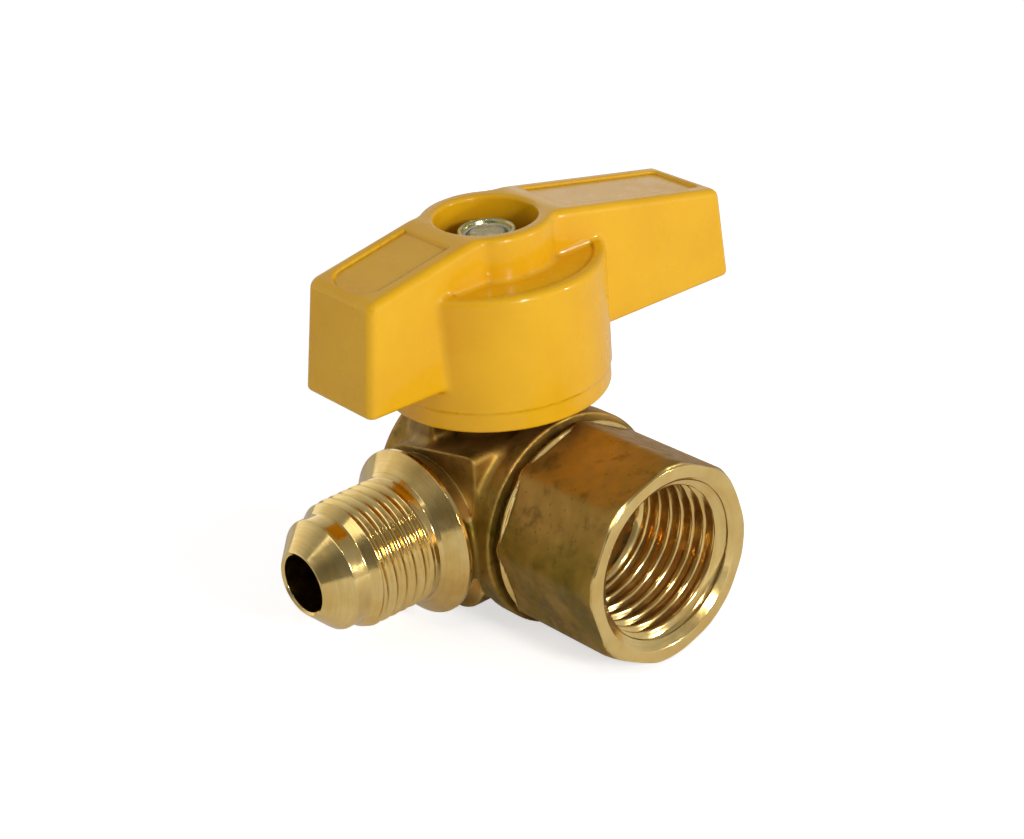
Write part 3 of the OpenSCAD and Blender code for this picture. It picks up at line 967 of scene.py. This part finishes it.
def forged_tone(finish, warm_reflection, rubbing):
    """Colour and roughness of brass from the forge.
    warm_reflection adds umber as a painted reflection of the handle above to a random heat tint, and
    rubbing is how bright its edges are."""
    tone = finish.mix(finish.span(finish.noise(5.5, warp=0.4), 0.35, 0.65), OLIVE, TAN)
    # The noise is a random heat tint; warm_reflection adds umber on the upper parts as a painted reflection
    # of the handle above.
    heat_and_reflection = finish.math("ADD", finish.span(finish.noise(8), 0.45, 0.72, 0, 0.7), warm_reflection, True)
    tone = finish.mix(heat_and_reflection, tone, UMBER)
    smudge = finish.span(finish.noise(2.4, detail=6, rough=0.62, warp=0.3), 0.5, 0.72)
    tone = finish.mix(finish.math("MULTIPLY", smudge, 0.65), tone, DARK_BROWN)
    speck = finish.span(finish.cells(1.3), 0.14, 0.05)
    tone = finish.mix(finish.math("MULTIPLY", speck, 0.6), tone, DARK_BROWN)
    edge = finish.span(finish.attribute("edge"), 0.35, 1.4)
    rubbed = finish.math("MULTIPLY", edge, finish.span(finish.noise(0.9, detail=4), 0.3, 0.6, 0, rubbing))
    tone = finish.mix(rubbed, tone, BRASS)
    # Darker in the inner corners.
    corner = finish.span(finish.attribute("edge"), -0.25, -1.2)
    tone = finish.mix(finish.math("MULTIPLY", corner, 0.6), tone, DARK_BROWN)
    rough = finish.math("SUBTRACT", finish.span(finish.noise(1.5, detail=5), 0.3, 0.7, 0.42, 0.6),
                        finish.math("MULTIPLY", rubbed, 0.18))
    return tone, rough


def turned_tone(finish, around, tarnish):
    """Colour, roughness and tool marks of machined brass.
    around squeezes the pattern along the turning axis."""
    marks = finish.noise(0.16, detail=2, place=finish.stretched(around))
    tone = finish.mix(finish.span(finish.noise(3.5, detail=4), 0.35, 0.7), BRASS_PALE, BRASS)
    tone = finish.mix(finish.span(marks, 0.35, 0.7, 0, 0.25), tone, TOOL_MARK)
    tone = finish.mix(tarnish, tone, TARNISH)
    # Darker in the thread grooves and inner corners.
    corner = finish.span(finish.attribute("edge"), -0.7, -3.0)
    tone = finish.mix(finish.math("MULTIPLY", corner, 0.6), tone, GROOVE_DARK)
    rough = finish.span(finish.noise(1.2, detail=4), 0.3, 0.7, 0.1, 0.18)
    return tone, rough, marks


def turned_brass():
    """Bright machined brass with fine tool marks around the outlet's axis, tarnished towards the body."""
    finish = Finish("brass_turned", Metallic=1.0)
    near_body = finish.span(finish.axis("Y"), -17.4, -16.6, 0.05, 0.45)
    patches = finish.span(finish.noise(4, detail=5), 0.4, 0.65, 0.3, 1.0)
    tone, rough, marks = turned_tone(finish, FLARE_STRETCH, finish.math("MULTIPLY", near_body, patches))
    finish.colour(tone)
    finish.roughness(rough)
    finish.bump(marks, 0.0025)
    finish.bump(finish.noise(0.8, detail=4), 0.003)
    return finish.material


def forged_brass(name, around, reflection_from, rubbing, milling):
    """Brass as forged, and bright where the attribute machined is 1.
    Above the height reflection_from it is warmed with umber as a painted reflection of the handle above,
    and milling makes the machined faces duller."""
    finish = Finish(name, Metallic=0.93)
    machined = finish.attribute("machined")
    # Painted reflection: umber rises with height from reflection_from, standing in for the handle reflected
    # in the upper faces.
    warm_reflection = finish.span(finish.axis("Z"), reflection_from, reflection_from + 8, 0, 0.6)
    tone, rough = forged_tone(finish, warm_reflection, rubbing)
    bright, shine, marks = turned_tone(finish, around, 0.06)
    shine = finish.math("ADD", shine, milling)
    finish.colour(finish.mix(machined, tone, bright))
    gap = finish.math("MULTIPLY", finish.math("SUBTRACT", shine, rough), machined)
    finish.roughness(finish.math("ADD", rough, gap))
    keep = finish.math("SUBTRACT", 1.0, machined)
    finish.bump(finish.math("MULTIPLY", finish.noise(1.7, detail=3), keep), TUMBLE)
    finish.bump(finish.math("MULTIPLY", finish.noise(0.28, detail=4, rough=0.6), keep), GRAIN)
    finish.bump(finish.math("MULTIPLY", marks, machined), 0.003)
    return finish.material


def plated(name, dull, bright, roughness):
    """Zinc plating: cloudy, with a slight colour shift and small scratches."""
    finish = Finish(name, Metallic=1.0)
    tone = finish.mix(finish.span(finish.noise(1.6, detail=4, warp=0.6), 0.35, 0.65), dull, bright)
    scratch = finish.span(finish.noise(0.22, detail=5, place=finish.stretched((1, 0.15, 1))), 0.62, 0.7)
    finish.colour(finish.mix(finish.math("MULTIPLY", scratch, 0.4), tone, tuple(0.5 * c for c in dull)))
    finish.roughness(finish.span(finish.noise(0.9, detail=4), 0.3, 0.7, roughness - 0.06, roughness + 0.1))
    finish.bump(finish.noise(0.3, detail=3), 0.008)
    return finish.material


def moulded(name, tone, roughness, mottle=0.12):
    """Plain moulded plastic or rubber: faint mottling and a fine satin grain."""
    finish = Finish(name)
    darker = tuple(c * (1 - mottle) for c in tone)
    finish.colour(finish.mix(finish.span(finish.noise(1.4, detail=5), 0.35, 0.65), tone, darker))
    finish.roughness(finish.span(finish.noise(0.6, detail=3), 0.3, 0.7, roughness - 0.08, roughness + 0.08))
    finish.bump(finish.noise(0.2, detail=3), 0.01)
    return finish.material


# ---------------------------------------------------------------- camera, light and floor

CAMERA_TURN = math.radians(50.4)
CAMERA_RISE = math.radians(26.55)
CAMERA_ROLL = math.radians(-4.3)
CAMERA_DISTANCE = 0.3
CAMERA_RIGHT = 0.000674
CAMERA_UP = 0.008253
CAMERA_LENS = 85.92
LIGHT_DISTANCE = 0.6
WALL_LIGHT = 1.9
WORLD_LOW, WORLD_MIDDLE, WORLD_HIGH = 0.6, 0.36, 0.26
WORLD_MIDDLE_AT = 0.45
CORNER_TOWARDS = (0.5, -0.85, 0.15)
CORNER_LIGHT = 0.35
FLOOR_GLOW = 0.62
FLOOR_RADIUS = 1.5


def make_camera():
    right = Vector((math.cos(CAMERA_TURN), math.sin(CAMERA_TURN), 0))
    back = Vector((math.sin(CAMERA_TURN) * math.cos(CAMERA_RISE),
                   -math.cos(CAMERA_TURN) * math.cos(CAMERA_RISE), math.sin(CAMERA_RISE)))
    up = back.cross(right)
    across = right * math.cos(CAMERA_ROLL) + up * math.sin(CAMERA_ROLL)
    upward = up * math.cos(CAMERA_ROLL) - right * math.sin(CAMERA_ROLL)
    spot = Vector(BALL_CENTRE) + back * CAMERA_DISTANCE + across * CAMERA_RIGHT + upward * CAMERA_UP
    data = bpy.data.cameras.new("camera")
    data.lens = CAMERA_LENS
    data.clip_start = 0.01
    camera = bpy.data.objects.new("camera", data)
    bpy.context.scene.collection.objects.link(camera)
    turn = Matrix((across, upward, back)).transposed().to_4x4()
    camera.matrix_world = Matrix.Translation(spot) @ turn
    bpy.context.scene.camera = camera


def make_light(name, turn_deg, rise_deg, width, height, power):
    """Softbox that faces the ball's centre from a compass turn and a rise above the floor."""
    turn, rise = math.radians(turn_deg), math.radians(rise_deg)
    away = Vector((math.cos(rise) * math.cos(turn), math.cos(rise) * math.sin(turn), math.sin(rise)))
    data = bpy.data.lights.new(name, "AREA")
    data.shape = "RECTANGLE"
    data.size, data.size_y = width, height
    data.energy = power
    light = bpy.data.objects.new(name, data)
    bpy.context.scene.collection.objects.link(light)
    light.location = Vector(BALL_CENTRE) + away * LIGHT_DISTANCE
    light.rotation_euler = away.to_track_quat("Z", "Y").to_euler()


def ranged(tree, value, low, high, to_low, to_high):
    """A world node that moves value softly from one range to another."""
    node = tree.nodes.new("ShaderNodeMapRange")
    node.interpolation_type = "SMOOTHSTEP"
    tree.links.new(value, node.inputs["Value"])
    set_range(node, low, high, to_low, to_high)
    return node.outputs["Result"]


def make_world():
    """Pale studio surroundings: darker overhead, a bright wall towards -X and a dim corner in front."""
    world = bpy.data.worlds.new("studio")
    world.use_nodes = True
    bpy.context.scene.world = world
    tree = world.node_tree
    coordinates = tree.nodes.new("ShaderNodeTexCoord").outputs["Generated"]
    parts = tree.nodes.new("ShaderNodeSeparateXYZ")
    tree.links.new(coordinates, parts.inputs[0])
    ramp = tree.nodes.new("ShaderNodeValToRGB")
    tree.links.new(parts.outputs["Z"], ramp.inputs[0])
    stops = ramp.color_ramp.elements
    stops.new(WORLD_MIDDLE_AT)
    for stop, grey in zip(stops, (WORLD_LOW, WORLD_MIDDLE, WORLD_HIGH)):
        stop.color = (grey, grey, grey, 1)
    corner = tree.nodes.new("ShaderNodeVectorMath")
    corner.operation = "DOT_PRODUCT"
    tree.links.new(coordinates, corner.inputs[0])
    corner.inputs[1].default_value = CORNER_TOWARDS
    strength = tree.nodes.new("ShaderNodeMath")
    strength.operation = "MULTIPLY"
    tree.links.new(ranged(tree, parts.outputs["X"], -0.9, -0.35, WALL_LIGHT, 1.0), strength.inputs[0])
    dimmed = ranged(tree, corner.outputs["Value"], 0.75, 0.97, 1.0, CORNER_LIGHT)
    tree.links.new(dimmed, strength.inputs[1])
    tree.links.new(ramp.outputs["Color"], tree.nodes["Background"].inputs["Color"])
    tree.links.new(strength.outputs[0], tree.nodes["Background"].inputs["Strength"])


def make_floor():
    """A pale disc that the valve's ring stands on, with a faintly uneven surface."""
    finish = Finish("floor_pale", Roughness=0.8)
    finish.colour(finish.mix(finish.span(finish.noise(60), 0.3, 0.7), (0.9, 0.9, 0.9), (0.93, 0.93, 0.93)))
    finish.shader.inputs["Specular IOR Level"].default_value = 0.1
    finish.shader.inputs["Emission Color"].default_value = (1, 1, 1, 1)
    seen = finish.tree.nodes.new("ShaderNodeLightPath").outputs["Is Camera Ray"]
    finish.feed(finish.shader.inputs["Emission Strength"], finish.math("MULTIPLY", seen, FLOOR_GLOW))
    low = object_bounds()[0][2]
    mesh = bpy.data.meshes.new("floor")
    sides = 96
    turns = (2 * math.pi * k / sides for k in range(sides))
    rim = [(FLOOR_RADIUS * math.cos(turn), FLOOR_RADIUS * math.sin(turn), low) for turn in turns]
    mesh.from_pydata(rim, [], [tuple(range(sides))])
    mesh.materials.append(finish.material)
    floor = bpy.data.objects.new("floor", mesh)
    bpy.context.scene.collection.objects.link(floor)


# ---------------------------------------------------------------- the model

def dress(node, material):
    """Gives a CAD node that stays as it is its material."""
    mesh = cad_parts[node].data
    for i in range(len(mesh.materials)):
        mesh.materials[i] = material


def build():
    turned = turned_brass()
    forged = forged_brass("brass_forged", FLARE_STRETCH, reflection_from=4, rubbing=0.12, milling=0.38)
    connector = forged_brass("brass_connector", CONNECTOR_STRETCH, reflection_from=1, rubbing=0.8, milling=0.0)
    pieces = (
        (make_body_forging(forged), "valve_body", "body", "forged_brass"),
        (make_outlet_flare(turned), "valve_body", "body", "turned_brass"),
        (make_end_connector(connector), "valve_body", "end_connector", "connector_brass"),
        (make_handle(yellow_enamel()), "handle_and_stem", "handle", "yellow_enamel"),
        (make_lock_nut(plated("zinc_yellow", (0.42, 0.44, 0.2), (0.62, 0.62, 0.34), 0.24)),
         "handle_and_stem", "lock_nut", "yellow_zinc"),
    )
    for piece, body, node, slot in pieces:
        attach(piece, body)
        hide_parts(node)
    zinc = plated("zinc_clear", (0.5, 0.5, 0.5), (0.72, 0.72, 0.7), 0.28)
    chrome = plated("chrome", (0.55, 0.56, 0.58), (0.7, 0.7, 0.72), 0.12)
    ptfe = moulded("ptfe_white", (0.8, 0.79, 0.74), 0.45, 0.06)
    rubber = moulded("rubber_black", (0.02, 0.02, 0.02), 0.6)
    nylon = moulded("nylon_natural", (0.62, 0.6, 0.5), 0.4)
    for nodes, material in (
        (("gland_nut",), turned),
        (("stem",), plated("brass_stem", (0.45, 0.44, 0.27), (0.6, 0.58, 0.38), 0.28)),
        (("ball",), chrome),
        (("connector_seal", "seat_inlet", "seat_back"), ptfe),
        (("thrust_washer", "packing_lower", "packing_upper"), ptfe),
        (("stem_o_ring",), rubber),
        (("lock_washer",), zinc),
        (("nut_insert",), nylon),
    ):
        for node in nodes:
            dress(node, material)


bpy.context.scene.view_settings.view_transform = "Standard"
make_camera()
make_world()
make_light("key", -8, 24, width=0.075, height=0.1, power=1.4)
make_light("side", 36, 14, width=0.05, height=0.05, power=0.7)
make_light("front_top", -88, 46, width=0.36, height=0.14, power=0.2)
make_light("glint", -40, 50, width=0.04, height=0.04, power=0.14)
make_floor()
build()
